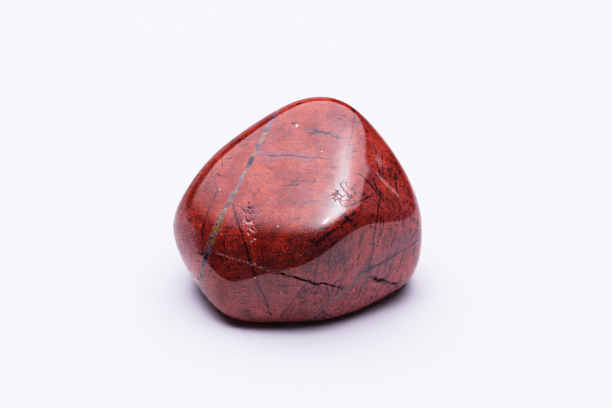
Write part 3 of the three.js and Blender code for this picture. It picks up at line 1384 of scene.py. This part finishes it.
@dataclass(frozen=True)
class Card:
    """A white card beyond the table, which only the stone mirrors.

    azimuth is the way to its middle, half_angle its reach to each side and top its upper edge, in
    degrees. Both edges are softened by softness, in the cosine or the sine of the angle.
    """

    azimuth: float
    half_angle: float
    top: float
    glow: float
    softness: ClassVar[float] = 0.02

    def light(self, graph: Graph, direction: Value) -> Socket:
        """The card's light: its glow within its sides and under its top.

        Args:
            graph: Where its nodes go.
            direction: The way that is looked.

        Returns:
            The light from there.
        """
        level = graph.vector("NORMALIZE", graph.vector("MULTIPLY", direction, (1.0, 1.0, 0.0)))
        inner = math.cos(math.radians(self.half_angle))
        within = graph.step(graph.dot(level, unit(self.azimuth)), inner, inner + self.softness)
        height = graph.dot(direction, (0.0, 0.0, 1.0))
        top = math.sin(math.radians(self.top))
        under = graph.step(height, top - self.softness, top + self.softness, self.glow, 0.0)
        return graph.product(within, under)


@dataclass(frozen=True)
class HotSpot:
    """A brighter place on the lamp: its middle, its reach each way and its glow."""

    x: float
    y: float
    reach_x: float
    reach_y: float
    glow: float

    def light(self, graph: Graph, place: Value, height: float) -> Socket:
        """Its light at a place on the lamp: glow x exp(-(dx / reach x)^2 - (dy / reach y)^2).

        Args:
            graph: Where its nodes go.
            place: The place, in the room.
            height: The lamp's height.

        Returns:
            The light from there.
        """
        offset = graph.vector("SUBTRACT", place, (self.x, self.y, height))
        share = graph.vector("DIVIDE", offset, (self.reach_x, self.reach_y, 1.0))
        fall = graph.math("EXPONENT", graph.product(graph.dot(share, share), -1.0))
        return graph.product(fall, self.glow)


@dataclass
class Studio:
    """A pale table under one large soft lamp, and the camera. Sizes are in metres.

    An extent is left, right, front and back. The dark parts of the table each lie past edges, given
    by the way they face and their distance. A lamp edge is the way it lies, where the lamp begins to
    fade and where it is dark. What is called mirrored shows only in the stone's polish.
    """

    table_colour: Colour = (0.79, 0.80, 0.90, 1.0)
    table_extent: Extent = (-3.0, 3.0, -3.0, 3.0)
    plain_beyond: Pair = (0.10, 0.30)
    dark_parts: tuple[tuple[Pair, ...], ...] = (((213, 0.044), (285, 0.0)), ((270, 0.048),))
    backdrop: Colour = (1.18, 1.17, 1.34, 1.0)
    mirrored_tint: Colour = (1.0, 0.98, 0.89, 1.0)
    mirrored_aside_tint: Colour = (0.59, 0.56, 0.50, 1.0)
    aside: Zone = Zone((130, 0), 0.009, 0.018)
    behind: Zone = Zone((90, 0), 0.0, 0.15)
    mirrored_behind: float = 0.5

    lamp_colour: Colour = (1.0, 0.97, 1.08, 1.0)
    lamp_extent: Extent = (-0.62, 0.36, -0.20, 0.44)
    lamp_height: float = 0.40
    lamp_edges: tuple[tuple[float, float, float], ...] = (
        (180, 0.32, 0.62),
        (0, 0.22, 0.36),
        (270, 0.10, 0.20),
        (90, 0.39, 0.44),
        (228, 0.08, 0.30),
        (145, 0.35, 0.39),
    )
    lamp_glow: float = 4.0
    hot_spots: tuple[HotSpot, ...] = (
        HotSpot(x=-0.09, y=-0.06, reach_x=0.06, reach_y=0.035, glow=12.0),
        HotSpot(x=-0.03, y=-0.088, reach_x=0.05, reach_y=0.025, glow=8.0),
        HotSpot(x=-0.02, y=-0.03, reach_x=0.11, reach_y=0.05, glow=2.4),
        HotSpot(x=-0.131, y=-0.072, reach_x=0.007, reach_y=0.005, glow=60.0),
    )
    mirrored_share: float = 0.70

    room_colour: Colour = (1.0, 0.98, 1.0, 1.0)
    room_fill: float = 0.035
    room_dark: float = 0.02
    cards: tuple[Card, ...] = (Card(azimuth=144, half_angle=56, top=25, glow=0.8),)
    window: Pair = (9, 28)
    window_angle: float = 8.0
    window_glow: float = 2.2
    halo_angle: float = 32.0
    halo_glow: float = 0.26

    film_white: float = 1.5
    film: tuple[Pair, ...] = (
        (0.0, 0.0),
        (0.035, 0.02),
        (0.1, 0.095),
        (0.2, 0.275),
        (0.41, 0.65),
        (0.65, 0.845),
        (0.85, 0.92),
        (1.0, 0.95),
    )
    camera_elevation: float = 32.0
    camera_distance: float = 0.218
    camera_lens: float = 100.0
    camera_sensor: float = 36.0
    camera_clip: Pair = (0.01, 20.0)
    camera_target: tuple[float, float, float] = (1.125 * MM, 1.755 * MM, 11.4 * MM)

    @staticmethod
    def plate(name: str, extent: Extent, height: float) -> Graph:
        """Makes a level rectangle of the stage, with its points in the room's own coordinates.

        Args:
            name: The name of the plate and of its material.
            extent: Its left, right, front and back.
            height: Its height over the floor.

        Returns:
            The graph of its material, still empty.
        """
        left, right, front, back = extent
        corners = [(left, front, height), (right, front, height), (right, back, height), (left, back, height)]
        mesh = bpy.data.meshes.new(name)
        mesh.from_pydata(corners, [], [(0, 1, 2, 3)])
        material = bpy.data.materials.new(name)
        mesh.materials.append(material)
        plate = bpy.data.objects.new(name, mesh)
        bpy.context.scene.collection.objects.link(plate)
        return emptied(material)

    def table(self) -> None:
        """The table: pale, plain at a distance, and mirrored only as far as its sheet's edges."""
        graph = self.plate("table", self.table_extent, 0.0)
        place = graph.add("ShaderNodeTexCoord", {}).outputs["Object"]
        mirrored = graph.add("ShaderNodeLightPath", {}).outputs["Is Glossy Ray"]
        aside = self.aside.mask(graph, place)
        tint = graph.blend(aside, self.mirrored_tint, self.mirrored_aside_tint)
        near = graph.blend(mirrored, self.table_colour, tint, "MULTIPLY")
        matte = graph.add("ShaderNodeBsdfDiffuse", {"Color": near})

        dimmed = graph.product(self.behind.mask(graph, place), mirrored)
        strength = graph.step(dimmed, 0.0, 1.0, 1.0, self.mirrored_behind)
        distant = graph.blend(mirrored, self.backdrop, self.mirrored_tint, "MULTIPLY")
        plain = graph.add("ShaderNodeEmission", {"Color": distant, "Strength": strength})
        far = graph.step(graph.measure("LENGTH", place), *self.plain_beyond)
        lit = graph.mixed(far, matte, plain)

        beyond = graph.largest(*(self.past_edges(graph, place, edges) for edges in self.dark_parts))
        unlit = graph.add("ShaderNodeEmission", {"Strength": self.room_dark})
        final = graph.mixed(graph.product(beyond, mirrored), lit, unlit)
        graph.add("ShaderNodeOutputMaterial", {"Surface": final.outputs[0]})

    @staticmethod
    def past_edges(graph: Graph, place: Value, edges: Sequence[Pair]) -> Value:
        """1 where a place lies past every one of the edges, each a facing and a distance."""
        reaches = ((graph.dot(place, unit(facing)), distance) for facing, distance in edges)
        return graph.product(*(graph.math("GREATER_THAN", *reach) for reach in reaches))

    def lamp(self) -> None:
        """The large soft lamp overhead: brighter round its bulb, and fading out towards its rim."""
        graph = self.plate("soft_lamp", self.lamp_extent, self.lamp_height)
        place = graph.add("ShaderNodeTexCoord", {}).outputs["Object"]
        fades = [
            graph.step(graph.dot(place, unit(facing)), full, dark, 1.0, 0.0)
            for facing, full, dark in self.lamp_edges
        ]
        spots = [spot.light(graph, place, self.lamp_height) for spot in self.hot_spots]
        glow = graph.total(graph.product(*fades, self.lamp_glow), *spots)
        mirrored = graph.add("ShaderNodeLightPath", {}).outputs["Is Glossy Ray"]
        glow = graph.product(glow, graph.step(mirrored, 0.0, 1.0, 1.0, self.mirrored_share))
        light = graph.add("ShaderNodeEmission", {"Color": self.lamp_colour, "Strength": glow})
        graph.add("ShaderNodeOutputMaterial", {"Surface": light.outputs[0]})

    def room(self) -> None:
        """The room: pale behind the table, dark where it is mirrored, and a soft fill."""
        world = bpy.data.worlds.new("room")
        graph = emptied(world)
        path = graph.add("ShaderNodeLightPath", {})
        direction = graph.add("ShaderNodeTexCoord", {}).outputs["Generated"]
        facing = graph.dot(direction, unit(*self.window))
        middle, edge, halo = (
            math.cos(math.radians(angle))
            for angle in (self.window_angle / 2.0, self.window_angle, self.halo_angle)
        )
        mirrored = graph.total(
            graph.step(facing, edge, middle, self.room_dark, self.window_glow),
            graph.step(facing, halo, edge, 0.0, self.halo_glow),
            *(card.light(graph, direction) for card in self.cards),
        )
        glossy = graph.add("ShaderNodeBackground", {"Color": self.table_colour, "Strength": mirrored})
        fill = graph.add("ShaderNodeBackground", {"Color": self.room_colour, "Strength": self.room_fill})
        shown = graph.add("ShaderNodeBackground", {"Color": self.backdrop, "Strength": 1.0})
        unseen = graph.mixed(path.outputs["Is Glossy Ray"], fill, glossy)
        final = graph.mixed(path.outputs["Is Camera Ray"], unseen, shown)
        graph.add("ShaderNodeOutputWorld", {"Surface": final.outputs[0]})
        bpy.context.scene.world = world

    def develop(self) -> None:
        """The camera's contrast: shadows a little deeper, and highlights that roll off."""
        view = bpy.context.scene.view_settings
        view.view_transform = "Standard"
        view.use_curve_mapping = True
        mapping = view.curve_mapping
        mapping.white_level = (self.film_white, self.film_white, self.film_white)
        combined = mapping.curves[3].points
        combined[0].location = self.film[0]
        combined[1].location = self.film[-1]
        for place in self.film[1:-1]:
            combined.new(*place)
        mapping.update()

    def camera(self) -> None:
        """The camera, in front of the stone and above it."""
        data = bpy.data.cameras.new("camera")
        data.lens = self.camera_lens
        data.sensor_width = self.camera_sensor
        data.clip_start, data.clip_end = self.camera_clip
        camera = bpy.data.objects.new("camera", data)
        elevation = math.radians(self.camera_elevation)
        back = Vector((0.0, -math.cos(elevation), math.sin(elevation)))
        camera.location = Vector(self.camera_target) + back * self.camera_distance
        camera.rotation_euler = (-back).to_track_quat("-Z", "Y").to_euler()
        bpy.context.scene.collection.objects.link(camera)
        bpy.context.scene.camera = camera

    def build(self) -> None:
        """Makes the stage, the light and the camera."""
        self.table()
        self.lamp()
        self.room()
        self.camera()
        self.develop()


def main() -> None:
    """Builds the studio and the stone."""
    logging.basicConfig(level=logging.INFO, format="%(name)s: %(message)s")
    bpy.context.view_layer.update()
    Studio().build()
    log.info("studio ready")
    stone = JasperStone().build()
    log.info("%s: %d points, %d faces", stone.name, len(stone.data.vertices), len(stone.data.polygons))


if __name__ == "__main__":
    main()
